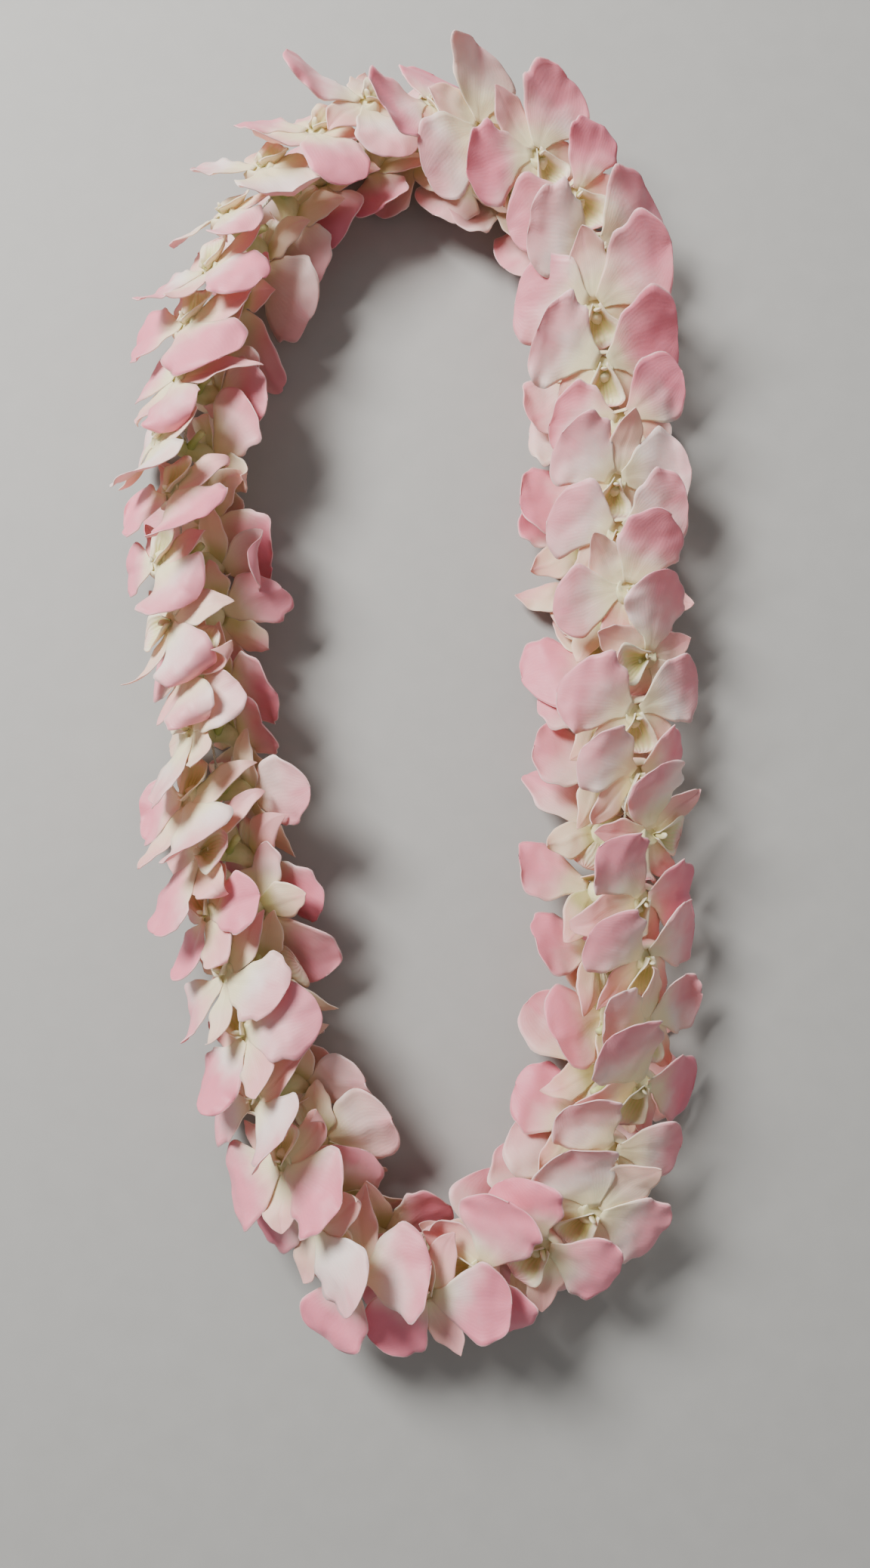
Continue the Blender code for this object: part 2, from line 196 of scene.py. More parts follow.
# How far petals may reach towards the next pair's stalk, and half the stalk's width.
HOLD_START = 9
HOLD_REACH = 7
STALK_HALF_WIDTH = 6
SIDE_REACH = 1.3
# How far petals curl up where the next bloom holds them, behind it and beside the strand.
HELD_CURL = 0.4
FREE_CURL = 8.0
FREE_START = 7
FREE_RUN = 16
SIDE_CURL = 4.0
SIDE_START = 18
SIDE_RUN = 10
FULL_REACH = 28
UPWARD = 0.6
TEPAL_ORDER = [
    ("top_sepal", 1), ("petal", 1), ("side_sepal", 1), ("lip", 1), ("side_sepal", -1), ("petal", -1),
]
print("leaves of a bloom:", len(TEPAL_ORDER))

# %% [markdown]
# ## Crumpled blooms
#
# Some things are too fine for the CAD. On the left strand and low on the right the seam of the two rows lies
# on top, and the blooms there are crumpled. The outer row droops over the seam and the inner row leans out,
# so that both turn towards the sky. The top sepals of many blooms are folded down behind the petals, which
# leaves the lip of the bloom before them open to view. A soft unevenness runs through the whole lei, and
# petals that would sink into the floor are pressed flat on it.

# %% How far blooms crumple
# How much the leaves of a bloom crumple, by pair, and how much one bloom may differ from that.
CRUMPLE = [
    (0, 0.5), (2, 0.35), (9, 0.4), (12, 1.0), (16, 0.9), (19, 0.45), (23, 0.6), (27, 1.0), (42, 1.0),
    (46, 0.6),
]
CRUMPLE_RANGE = (0.6, 1.2)
# Blooms that are turned less than this, in radians, have their top sepal folded down. Every third pair keeps
# its own up.
TUCKED_TURN = 0.5
UNTUCKED_EVERY = 3
# How strongly the outer and the inner row bend at the seam, from how far beside the thread and from which
# crumple on.
DROOPS = (0.026, -0.018)
DROOP_START = 7
DROOP_CRUMPLE = 0.3
# The unevenness: how many waves to a metre, and how far each moves a point. The noise is seeded, so that it
# is the same on each run.
WARPS = [(75, 1.3 * MM), (190, 0.55 * MM)]
noise.seed_set(SEED)
# How far over the floor the lowest petals lie, and below which height they are pressed towards it.
FLOOR_GAP = 0.35 * MM
PRESS_DEPTH = 6 * MM
print("most crumpled:", max(crumple for _, crumple in CRUMPLE))

# %% [markdown]
# ## The place of a bloom
#
# This class holds one bloom's place on the thread and its differences. It turns a place on a flat bloom, how
# far out and at which angle, into a place in the lei. The draws keep one order, first the ones that the CAD
# has as well, because each draw changes the ones after it.

# %% The bloom class
class Bloom:
    """One bloom's place on the thread and its own seeded differences."""

    def __init__(self, number, row):
        here, there = string[number], string[(number + 1) % PAIRS]
        angles = between(FACING, number + 0.5)
        facing = math.radians(angles[row])
        self.middle = (here + there) / 2
        self.along = (there - here).normalized()
        inward = self.along.cross(Vector((0, 0, 1))).normalized()
        up = inward.cross(self.along)
        self.out = inward * math.cos(facing) + up * math.sin(facing)
        self.aside = up * math.cos(facing) - inward * math.sin(facing)
        over = (angles[0] - angles[1]) / 2
        self.spreads = (over, 180 - over) if row else (180 - over, over)
        self.draw = draw = random.Random(SEED * 1000 + number * 2 + row)
        loose = LOOSENESS.get(number, 1.0)
        self.size = 1 + loose * draw.uniform(*SIZE_RANGE)
        turns = (loose * draw.uniform(-SMALL_TURN, SMALL_TURN), draw.choice(TURNS))
        self.turn = math.radians(turns[0] + (turns[1] if loose > CALM else 0))
        self.shift = [loose * draw.uniform(-most, most) for most in (SHIFT_ALONG, SHIFT_ASIDE)]
        self.lean = [loose * draw.uniform(-most, most) for most in (LEAN_ALONG, LEAN_ASIDE)]
        self.waves = [(loose * draw.uniform(*WAVE_RANGE), draw.uniform(0, math.tau)) for _ in WAVES]
        self.swings = [math.radians(loose * draw.uniform(-SWING, SWING)) for _ in TEPAL_ORDER]
        self.lengths = [draw.uniform(SMALLEST, 1.0) for _ in TEPAL_ORDER]
        self.blush = draw.uniform(*BLUSH_RANGE)
        self.warmth = draw.uniform(0.0, 1.0)
        crumple = between(CRUMPLE, number)[0]
        self.crumple = crumple * draw.uniform(*CRUMPLE_RANGE)
        self.droop = DROOPS[row] * max(0.0, crumple - DROOP_CRUMPLE)
        self.seam_side = 1 if row else -1
        self.tucked = abs(self.turn) < TUCKED_TURN and number % UNTUCKED_EVERY != 0

    def crumpled(self, calm, more):
        """A number that is calm on a smooth bloom, and grows with how crumpled this one is."""
        return calm + more * self.crumple

    def place(self, far, angle, across, lift):
        """The point that lies far along the angle from the top sepal, across to its side and lifted."""
        angle += self.turn
        along = (-far * math.cos(angle) + across * math.sin(angle)) * self.size + self.shift[0]
        aside = (far * math.sin(angle) + across * math.cos(angle)) * self.size + self.shift[1]
        reach = HOLD_REACH + SIDE_REACH * max(0.0, abs(aside) - STALK_HALF_WIDTH)
        if along > HOLD_START:
            along = HOLD_START + reach * math.tanh((along - HOLD_START) / reach)
        height = layer_height(along, aside, self.spreads[0] if aside > 0 else self.spreads[1]) + lift
        height += self.lean[0] * (along - self.shift[0]) + self.lean[1] * (aside - self.shift[1])
        height -= self.droop * max(0.0, aside * self.seam_side - DROOP_START) ** 2
        point = self.middle + (self.along * along + self.aside * aside + self.out * height) * MM
        for waves, most in WARPS:
            point += noise.noise_vector(point * waves) * most
        over = point.z - FLOOR_GAP
        if over < PRESS_DEPTH:
            point.z = FLOOR_GAP + max(0.0, over + PRESS_DEPTH) ** 2 / (4 * PRESS_DEPTH)
        return point

    def freedom(self, far, angle):
        """How free a point is behind and beside the strand, each from 0 to 1."""
        back = far * math.cos(angle + self.turn)
        aside = far * math.sin(angle + self.turn) * self.size + self.shift[1]
        free = min(1.0, max(0.0, (back - FREE_START) / FREE_RUN))
        return free, min(1.0, max(0.0, (abs(aside) - SIDE_START) / SIDE_RUN))

    def curl(self, far, angle):
        """How far the bloom curls up out of its layer there, in millimetres."""
        free, beside = self.freedom(far, angle)
        wave = sum(
            size * math.cos(count * angle + start) for count, (size, start) in zip(WAVES, self.waves)
        )
        upward = UPWARD * self.waves[0][0]
        rise = (HELD_CURL + FREE_CURL * free) * (wave + upward) + SIDE_CURL * beside * wave
        return rise * (far / FULL_REACH) ** 2


blooms = [(Bloom(number, 0), Bloom(number, 1)) for number in range(PAIRS)]
print("blooms:", 2 * len(blooms))

# %% [markdown]
# ## Petals and sepals
#
# A dendrobium has three narrow, pointed sepals behind two broad petals. Each is a thin leaf, so each starts
# as a flat grid. Every point of the grid is then moved: out to the outline, up or down for the cup, the
# midrib, the waves of the margin and the curl of the tip, and last onto the bloom's own layer. Sculpting
# would give one good flower, but ninety-two need a rule. The grid's own two directions are kept as
# attributes, because the veins and the blush of the finish follow them.

# %% The plans of the leaves
# Each leaf: the angles of its root and tip from the top sepal in degrees, its length, its cup, its ruffle,
# how far it may curl and hook in radians, and by share of its length its half width and its lift off the
# layer.
LEAVES = {
    "top_sepal": dict(
        angles=(0, 0), length=23.0, cup=0.9, ruffle=0.5, curl=1.0, hook=1.6,
        outline=[(0, 2.6), (0.2, 5.0), (0.42, 7.8), (0.64, 7.2), (0.84, 4.2), (0.95, 1.7), (1.0, 0.2)],
        lifts=[(0, -0.2), (0.44, -0.8), (0.76, -0.6), (1.0, 0.0)],
    ),
    "petal": dict(
        angles=(60, 68), length=27.0, cup=-1.0, ruffle=1.3, curl=0.9, hook=1.3,
        outline=[
            (0, 2.4), (0.14, 5.2), (0.32, 10.8), (0.5, 14.6), (0.66, 15.4), (0.8, 13.6), (0.9, 10.4),
            (0.96, 7.2), (0.99, 3.8), (1, 0.5),
        ],
        lifts=[(0, 0.2), (0.5, 0.9), (0.82, 1.0), (1.0, 0.8)],
    ),
    "side_sepal": dict(
        angles=(120, 135), length=25.0, cup=0.9, ruffle=0.6, curl=1.4, hook=2.2,
        outline=[(0, 2.6), (0.2, 5.2), (0.40, 7.4), (0.64, 6.2), (0.84, 3.4), (0.95, 1.3), (1.0, 0.2)],
        lifts=[(0, -0.2), (0.42, -0.8), (0.74, -0.7), (1.0, -0.4)],
    ),
}
# The slot of each part's finish. A leaf's back takes the slot after its front's.
FINISH = {"petal": 0, "top_sepal": 2, "side_sepal": 2, "lip": 4, "chin": 6, "column": 7, "stem": 8}
SLOTS = 9
print("leaf kinds:", ", ".join(LEAVES))

# %% [markdown]
# ## Numbers on a sheet
#
# A finish has to know where on its leaf a point lies, how pink the leaf is and how creamy. So each point
# carries four numbers, in attributes. A sheet also has a right side, because its back gets another finish.

# %% Helpers for sheets
NUMBERS = ("along", "across", "blush", "warmth")


def smoothly(keys, place):
    """The first value of a list of keys at a place, along one smooth curve."""
    for index in range(len(keys) - 1):
        if keys[index][0] <= place <= keys[index + 1][0]:
            break
    (start, low), (end, high) = keys[index], keys[index + 1]
    before, after = keys[max(index - 1, 0)], keys[min(index + 2, len(keys) - 1)]
    width = end - start
    way_in = (high - before[1]) / (end - before[0]) * width
    way_out = (after[1] - low) / (after[0] - start) * width
    return hermite(low, high, way_in, way_out, (place - start) / width)


def mark(shape, vert, *values):
    """Stores at a point the four numbers that the finishes read."""
    for name, value in zip(NUMBERS, values):
        vert[shape.verts.layers.float[name]] = value


def new_shape():
    """An empty bmesh that is ready for the numbers of mark."""
    shape = bmesh.new()
    for name in NUMBERS:
        shape.verts.layers.float.new(name)
    return shape


def face_out(sheet, bloom, finish):
    """Turns an open sheet to the side that its bloom faces and gives it a finish."""
    sheet.normal_update()
    if sum(face.normal.dot(bloom.out) * face.calc_area() for face in sheet.faces) < 0:
        bmesh.ops.reverse_faces(sheet, faces=sheet.faces)
    for face in sheet.faces:
        face.material_index = finish
        face.smooth = True
    return sheet


print("numbers on each point:", ", ".join(NUMBERS))

# %% [markdown]
# ## The habit of a leaf
#
# One leaf differs from the next in its width, ruffle, bend, hook, cup, rolled margins, swell, folds and
# twist, and most of these grow where the bloom is crumpled. They are drawn before the leaf is made. A leaf
# bends in its outer half and hooks near its tip, as a petal does that begins to wilt.

# %% Draw a leaf's habit
SLIM = 0.24
WIDTH_RANGE = (0.90, 1.10)
RIPPLE_RANGE = (2.0, 3.6)
# Pairs of numbers: the first is for a smooth bloom, and crumpling adds the second.
BEND_BACK = (-0.4, -0.6)
BEND_SIZE = (0.7, 0.7)
CUP_RANGE = (0.3, 1.2)
ROLL_RANGE = (-0.6, 1.0)
ROLL_SIZE = (0.4, 3.0)
SWELL_RANGE = (0.3, 1.1)
# The most that the halves of a crumpled leaf fold up along its midrib, and that it twists, in radians.
FOLD = 0.6
FOLD_RANGE = (-0.35, 1.0)
TWIST = 0.35
# How much pinker a crumpled leaf is, and how much the leaves of one bloom differ.
CRUMPLED_BLUSH = 0.15
BLUSH_CHANGE = 0.25
HALVES = (0, 1)


def leaf_habit(bloom, plan):
    """The seeded differences of one leaf, always drawn in the same order."""
    draw = bloom.draw
    slim = 1 - SLIM * bloom.crumple * draw.uniform(0.0, 1.0)
    habit = SimpleNamespace(
        widths=[slim * draw.uniform(*WIDTH_RANGE) for _ in HALVES],
        phase=draw.uniform(0, math.tau),
        ripples=draw.uniform(*RIPPLE_RANGE),
        bend=draw.uniform(bloom.crumpled(*BEND_BACK), 1.0) * plan["curl"] * bloom.crumpled(*BEND_SIZE),
        cup=plan["cup"] * draw.uniform(*CUP_RANGE),
        hook=draw.uniform(-1.0, 1.0) * plan["hook"] * bloom.crumple,
        rolls=[draw.uniform(*ROLL_RANGE) * bloom.crumpled(*ROLL_SIZE) for _ in HALVES],
        swell=draw.uniform(*SWELL_RANGE),
        folds=[draw.uniform(*FOLD_RANGE) * FOLD * bloom.crumple for _ in HALVES],
        twist=draw.uniform(-1.0, 1.0) * TWIST * bloom.crumple,
    )
    blush = bloom.blush + CRUMPLED_BLUSH * bloom.crumple + draw.uniform(-BLUSH_CHANGE, BLUSH_CHANGE)
    habit.blush = min(1.0, max(0.0, blush))
    return habit


# Where along a leaf its bend and its hooked tip start.
BEND_FROM = 0.4
HOOK_FROM = 0.66
CURL_STEPS = 12


def curled(length, share, bend, hook):
    """How far out and how high a point comes at a share of the length of a leaf that bends and hooks."""
    far = rise = 0.0
    for step in range(CURL_STEPS):
        place = share * (step + 0.5) / CURL_STEPS
        turn = bend * max(0.0, place - BEND_FROM) / (1 - BEND_FROM)
        turn += hook * max(0.0, place - HOOK_FROM) / (1 - HOOK_FROM)
        far += math.cos(turn)
        rise += math.sin(turn)
    return length * share * far / CURL_STEPS, length * share * rise / CURL_STEPS


print("a leaf of 27 mm that hooks by 1 radian reaches", [round(value, 1) for value in curled(27, 1, 0, 1)])

# %% [markdown]
# ## The shape of a leaf
#
# A helper adds up what raises a point: the cup, the groove of the midrib, the rolled margins, a broad swell
# and the ruffle. Where the next bloom holds a leaf down, only a share of most of these shows. The leaf
# itself is a grid with closer rows at the tip. It is bent to its outline, raised, folded along its midrib
# and laid on the layer of its bloom.

# %% The leaf rule
THROAT = 3.46
ACROSS = 14
ALONG = 22
TIP_ROWS = 1.6
FAN = 1.6
ROOT_TUCK = 1.2
EDGE_WAVE = 0.05
SIDE_PHASE = 1.5
SIDE_FREEDOM = 0.8
CUP_WIDTH = 8
MIDRIB_DEPTH = 0.35
MIDRIB_WIDTH = 0.1
ROLL_FROM = 0.4
ROLL_WIDTH = 5
SWELLS = 1.6
SWELL_MIDDLE = 0.4
SWELL_TILT = 0.8
# The shares that show where a leaf is held down.
HELD_CUP = 0.35
HELD_SWELL = 0.2
HELD_RUFFLE = 0.25
HELD_FOLD = 0.3
# A folded top sepal: how far it still reaches, how deep it goes down, and its width and cup.
TUCK_REACH = 3.2
TUCK_DROP = 9.5
TUCK_WIDTH = 0.8
TUCK_CUP = 0.5
CALM_WARMTH = 0.5


def eased(held, loose):
    """The share held where a leaf is held down, and all of it where the leaf is free."""
    return held + (1 - held) * loose


def raised(plan, habit, u, share, half_width, ripple, loose):
    """How far a leaf's own form raises a point, across by u from -1 to 1 and along by share."""
    middle = math.sin(math.pi * share)
    rise = habit.cup * u * u * (half_width / CUP_WIDTH) * eased(HELD_CUP, loose)
    rise -= MIDRIB_DEPTH * math.exp(-((u / MIDRIB_WIDTH) ** 2)) * middle
    rise += habit.rolls[u > 0] * loose * max(0.0, abs(u) - ROLL_FROM) ** 2 * half_width / ROLL_WIDTH
    swell = math.sin(math.pi * share * SWELLS + habit.phase) * (SWELL_MIDDLE + u * SWELL_TILT)
    rise += habit.swell * eased(HELD_SWELL, loose) * swell
    return rise + plan["ruffle"] * eased(HELD_RUFFLE, loose) * ripple * abs(u) ** 3 * middle


def leaf(bloom, number):
    """One petal or sepal as an open sheet, in its place in the lei."""
    kind, side = TEPAL_ORDER[number]
    plan = LEAVES[kind]
    length = plan["length"] * bloom.lengths[number]
    root, tip = plan["angles"]
    habit = leaf_habit(bloom, plan)
    warmth = min(1.0, bloom.warmth * bloom.crumpled(CALM_WARMTH, 1.0))
    sheet = new_shape()
    for vert in bmesh.ops.create_grid(sheet, x_segments=ACROSS, y_segments=ALONG, size=1)["verts"]:
        u = vert.co.x
        share = 1 - (1 - (vert.co.y + 1) / 2) ** TIP_ROWS
        ripple = math.sin(math.tau * habit.ripples * share + habit.phase + SIDE_PHASE * (u > 0))
        half_width = smoothly(plan["outline"], share) * habit.widths[u > 0] * bloom.lengths[number]
        half_width *= 1 + EDGE_WAVE * ripple * math.sin(math.pi * share)
        across = u * half_width
        angle = math.radians(root + (tip - root) * min(1, FAN * share)) * side + bloom.swings[number] * share
        far = THROAT + length * share - ROOT_TUCK * (1 - share) ** 4
        ray = (math.hypot(far, across), angle + math.atan2(across, far))
        free, beside = bloom.freedom(*ray)
        loose = max(free, SIDE_FREEDOM * beside)
        reach, rise = curled(length, share, habit.bend * loose, habit.hook * loose)
        far += reach - length * share
        rise += smoothly(plan["lifts"], share) + bloom.curl(*ray)
        rise += raised(plan, habit, u, share, half_width, ripple, loose)
        lean = (habit.folds[u > 0] + habit.twist * (1 if u > 0 else -1)) * eased(HELD_FOLD, loose) * share
        rise += abs(across) * math.sin(lean)
        across *= math.cos(lean)
        if kind == "top_sepal" and bloom.tucked:
            far = THROAT + TUCK_REACH * math.sin(math.pi / 2 * share)
            across *= TUCK_WIDTH
            rise = habit.cup * u * u * TUCK_CUP - TUCK_DROP * (1 - math.cos(math.pi / 2 * share))
        vert.co = bloom.place(far, angle, across, rise)
        mark(sheet, vert, share, -u * side, habit.blush, warmth)
    return face_out(sheet, bloom, FINISH[kind])


print("grid of a leaf:", ACROSS, "by", ALONG)

# %% [markdown]
# ## The lip
#
# The sixth leaf of an orchid is its lip. Its sides stand up and meet at the column, so that it looks like an
# open hood with an olive green inside and a rolled cream rim. Its front lobe is short and spreads. It is the
# same kind of grid as a petal, but its margins rise steeply.

# %% The lip rule
LIP_LENGTH = 16.0
LIP_GRID = (14, 18)
LIP_OUTLINE = [
    (0, 1.2), (0.2, 3.1), (0.4, 5.6), (0.6, 7.5), (0.74, 7.8), (0.87, 6.4), (0.96, 3.8), (1.0, 0.5),
]
LIP_RISE = [(0, 0.6), (0.3, -0.9), (0.6, -0.8), (0.82, 0.8), (1.0, 1.6)]
SIDE_LOBES = [(0, 2.8), (0.2, 4.6), (0.5, 5.4), (0.74, 4.0), (0.9, 1.8), (1.0, 0.2)]
LOBE_STEEPNESS = 2.2
RIM_FROM = 0.8
RIM_ROLL = 1.1
FRILL_RANGE = (0.2, 0.6)
FRILL_ACROSS = 9
FRILL_ALONG = 14
FRILL_FROM = 0.6


def lip(bloom):
    """The lip as an open sheet: a trough with standing sides and a rolled rim, and a short front lobe."""
    draw = bloom.draw
    drop = draw.uniform(-1.0, 1.0)
    frill = draw.uniform(*FRILL_RANGE)
    sheet = new_shape()
    grid = bmesh.ops.create_grid(sheet, x_segments=LIP_GRID[0], y_segments=LIP_GRID[1], size=1)
    for vert in grid["verts"]:
        u = vert.co.x
        share = (vert.co.y + 1) / 2
        rim = max(0.0, abs(u) - RIM_FROM) / (1 - RIM_FROM)
        across = u * smoothly(LIP_OUTLINE, share)
        rise = smoothly(LIP_RISE, share) - drop * share**2
        rise += smoothly(SIDE_LOBES, share) * abs(u) ** LOBE_STEEPNESS
        rise -= RIM_ROLL * rim * rim * math.sin(math.pi * share)
        wave = math.sin(FRILL_ACROSS * u + FRILL_ALONG * share)
        rise += frill * wave * max(0.0, share - FRILL_FROM) * abs(u)
        vert.co = bloom.place(LIP_LENGTH * share, math.pi, across, rise)
        mark(sheet, vert, share, u, bloom.blush, bloom.warmth)
    return face_out(sheet, bloom, FINISH["lip"])


print("lip length in mm:", LIP_LENGTH)

# %% [markdown]
# ## The chin
#
# Behind the petals a bloom narrows to a fleshy chin, and the thread runs through the end of it. The chin is
# round, so its profile is spun once, and its rings are then slid along the way from the thread to the
# throat.

# %% Spin the chin
# The chin's profile: share of the way from thread to throat, and radius in millimetres.
CHIN = [
    (-0.12, 0.0), (-0.1, 1.6), (0.0, 2.9), (0.3, 3.7), (0.6, 4.3), (0.85, 4.6), (1.0, 4.2), (1.01, 3.6),
    (0.96, 2.0), (0.94, 0.0),
]
CHIN_STEPS = 14
CHIN_BULGE = 1.4
DOUBLES = 1e-6


def closed(shape, finish):
    """Merges a closed shape's doubles, points its faces out and gives it a finish."""
    bmesh.ops.remove_doubles(shape, verts=shape.verts, dist=DOUBLES)
    bmesh.ops.recalc_face_normals(shape, faces=shape.faces)
    for face in shape.faces:
        face.material_index = finish
        face.smooth = True
    return shape


def chin(bloom):
    """The fleshy base of a flower, spun from its profile, from the thread to the throat."""
    shape = new_shape()
    verts = [shape.verts.new((radius, 0, share)) for share, radius in CHIN]
    edges = [shape.edges.new(ends) for ends in zip(verts, verts[1:])]
    bmesh.ops.spin(
        shape, geom=verts + edges, cent=(0, 0, 0), axis=(0, 0, 1), angle=math.tau, steps=CHIN_STEPS,
        use_merge=True,
    )
    throat = bloom.place(0, 0, 0, 0)
    for vert in shape.verts:
        x, y, share = vert.co
        inside = min(1.0, max(0.0, share))
        side = bloom.along * (x + CHIN_BULGE * math.sin(math.pi * inside)) + bloom.aside * y
        vert.co = bloom.middle.lerp(throat, share) + side * MM
        vert.co.z = max(vert.co.z, FLOOR_GAP)
        mark(shape, vert, inside, 0.0, bloom.blush, bloom.warmth)
    return closed(shape, FINISH["chin"])


print("points in the chin's profile:", len(CHIN))

# %% [markdown]
# ## Column and stem
#
# In front of the throat stands the column, a small hooded knob, which starts as a sphere. A cut stub of the
# flower's green stem leaves the chin beside the thread. It starts as a cylinder whose long sides are cut
# into rings, and the rings then flare at the root and follow a slight bend.

# %% Column and stem rules
COLUMN_RADIUS = 1.25
COLUMN_FLARE = 0.35
COLUMN_START = 0.6
COLUMN_REACH = 2.2
COLUMN_HEIGHT = 1.4
COLUMN_RISE = 3.4
STEM_LENGTH = 10.5
STEM_RADIUS = 1.35
STEM_SIDES = 10
STEM_RINGS = 5
STEM_FLARE = 0.5
STEM_JOINTS = 3
JOINT_SIZE = 0.12
STEM_BEND = 0.8
# Which way a stem leaves its chin: away from it, against the way that its bloom faces and along the strand.
STEM_WAY = (0.85, -0.1, 0.4)
STEM_ROOT = (1.5, 1.2)


def column(bloom):
    """The small hooded column that stands over the throat."""
    shape = new_shape()
    bmesh.ops.create_uvsphere(shape, u_segments=12, v_segments=8, radius=1)
    for vert in shape.verts:
        x, y, z = vert.co
        share = (z + 1) / 2
        width = COLUMN_RADIUS + COLUMN_FLARE * z
        lift = COLUMN_HEIGHT + COLUMN_RISE * share + width * y
        vert.co = bloom.place(-COLUMN_START - COLUMN_REACH * share, 0, width * x, lift)
        mark(shape, vert, share, x, bloom.blush, bloom.warmth)
    return closed(shape, FINISH["column"])


def stem(bloom, way):
    """The cut green stub that leaves the chin beside the thread."""
    away, facing, ahead = STEM_WAY
    way = (way * away + bloom.out * facing + bloom.along * ahead).normalized()
    turned = way.to_track_quat("Z", "Y").to_matrix()
    start = bloom.middle + (bloom.out * STEM_ROOT[0] + way * STEM_ROOT[1]) * MM
    shape = new_shape()
    bmesh.ops.create_cone(shape, cap_ends=True, segments=STEM_SIDES, radius1=1, radius2=1, depth=2)
    long_edges = [edge for edge in shape.edges if abs(edge.verts[0].co.z - edge.verts[1].co.z) > 1]
    bmesh.ops.subdivide_edges(shape, edges=long_edges, cuts=STEM_RINGS, use_grid_fill=True)
    for vert in shape.verts:
        share = (vert.co.z + 1) / 2
        radius = STEM_RADIUS + STEM_FLARE * (1 - share) ** 2
        radius += JOINT_SIZE * math.sin(math.pi * share * STEM_JOINTS)
        spoke = Vector((vert.co.x, vert.co.y, 0)) * radius
        bend = Vector((0, 0, STEM_BEND * math.sin(math.pi * share)))
        vert.co = start + (turned @ spoke + way * STEM_LENGTH * share + bend) * MM
        vert.co.z = max(vert.co.z, FLOOR_GAP)
        mark(shape, vert, share, 0.0, bloom.blush, bloom.warmth)
    return closed(shape, FINISH["stem"])


print("stem length in mm:", STEM_LENGTH)

# %% [markdown]
# ## Joining a pair
#
# Petals are less than half a millimetre thick. Solidify gives each open sheet that thickness and closes it,
# and its material offset puts the finish of a petal's back on the new side. It needs a slot for every
# finish, so empty ones are added first. The six sheets of both blooms go through it together. The solid
# middles are added after it.

# %% Build the forty-six pairs
PETAL_THICKNESS = 0.38 * MM
# How far the two blooms of a pair must face the same way for a ridge to run between them.
LEAST_RIDGE = 0.5


def gather(shapes):
    """Puts several bmeshes into one mesh and frees them."""
    whole = new_shape()
    for shape in shapes:
        part = bpy.data.meshes.new("part")
        shape.to_mesh(part)
        shape.free()
        whole.from_mesh(part)
        bpy.data.meshes.remove(part)
    mesh = bpy.data.meshes.new("whole")
    whole.to_mesh(mesh)
    whole.free()
    return mesh


def thickened(mesh):
    """The sheets of a mesh as thin closed leaves, with an empty slot for each finish."""
    leaves = bpy.data.objects.new("leaves", mesh)
    bpy.context.scene.collection.objects.link(leaves)
    for _ in range(SLOTS):
        mesh.materials.append(None)
    solid = leaves.modifiers.new("Thickness", "SOLIDIFY")
    solid.thickness = PETAL_THICKNESS
    solid.offset = 0
    solid.material_offset = 1
    made = bpy.data.meshes.new_from_object(leaves.evaluated_get(bpy.context.evaluated_depsgraph_get()))
    bpy.data.objects.remove(leaves)
    bpy.data.meshes.remove(mesh)
    return made


def sheets_of(bloom):
    """The five leaves and the lip of a bloom."""
    for number, (kind, _) in enumerate(TEPAL_ORDER):
        yield lip(bloom) if kind == "lip" else leaf(bloom, number)


def middles_of(pair):
    """The chins, columns and stems of a pair. One stem points up the seam's ridge and one down."""
    ridge = pair[0].out + pair[1].out
    ridge = ridge.normalized() if ridge.length > LEAST_RIDGE else pair[0].aside
    for bloom, way in zip(pair, (ridge, -ridge)):
        yield chin(bloom)
        yield column(bloom)
        yield stem(bloom, way)


pairs = []
for number, pair in enumerate(blooms):
    leaves = thickened(gather(sheet for bloom in pair for sheet in sheets_of(bloom)))
    whole = bmesh.new()
    whole.from_mesh(leaves)
    middles = gather(middles_of(pair))
    whole.from_mesh(middles)
    leaves.clear_geometry()
    whole.to_mesh(leaves)
    whole.free()
    bpy.data.meshes.remove(middles)
    piece = bpy.data.objects.new(f"orchids_{number + 1:02d}", leaves)
    bpy.context.scene.collection.objects.link(piece)
    pairs.append(piece)
print("pairs:", len(pairs), "faces in the first:", len(pairs[0].data.polygons))

# %% [markdown]
# ## The thread and its knot
#
# The blooms are strung on cotton of two plies. Each ply is a curve that winds round the thread's run, with a
# round bevel. It shows only in the gaps between blooms, but there it should look spun, not like a wire. The
# knot is a short curve tied round itself, and its two cut ends stick out.

# %% Wind a ply
THREAD_RADIUS = 0.6 * MM
PLY_RADIUS = 0.32 * MM
PLY_TURN = 2.6 * MM
TURN_STEPS = 6


def ply_curve(name, runs, radius, cyclic):
    """A curve of several runs of points with a round bevel, as a mesh of its own."""
    curve = bpy.data.curves.new(name, "CURVE")
    curve.dimensions = "3D"
    curve.bevel_depth = radius
    curve.bevel_resolution = 1
    curve.use_fill_caps = True
    for points in runs:
        line = curve.splines.new("POLY")
        line.points.add(len(points) - 1)
        line.use_cyclic_u = cyclic
        for point, spot in zip(line.points, points):
            point.co = (*spot, 1)
    cord = bpy.data.objects.new(name, curve)
    bpy.context.scene.collection.objects.link(cord)
    mesh = bpy.data.meshes.new_from_object(cord.evaluated_get(bpy.context.evaluated_depsgraph_get()))
    bpy.data.objects.remove(cord)
    return mesh


def wound(points, phase):
    """A run of points wound round a closed line, a sixth of a turn at a time."""
    made = []
    gone = 0.0
    for here, there in zip(points, points[1:] + points[:1]):
        length = (there - here).length
        way = (there - here).normalized()
        side = way.cross(Vector((0, 0, 1))).normalized()
        up = side.cross(way)
        steps = max(1, round(length / (PLY_TURN / TURN_STEPS)))
        for step in range(steps):
            turn = math.tau * (gone + length * step / steps) / PLY_TURN + phase
            spoke = side * math.cos(turn) + up * math.sin(turn)
            made.append(here.lerp(there, step / steps) + spoke * (THREAD_RADIUS - PLY_RADIUS))
        gone += length
    return made


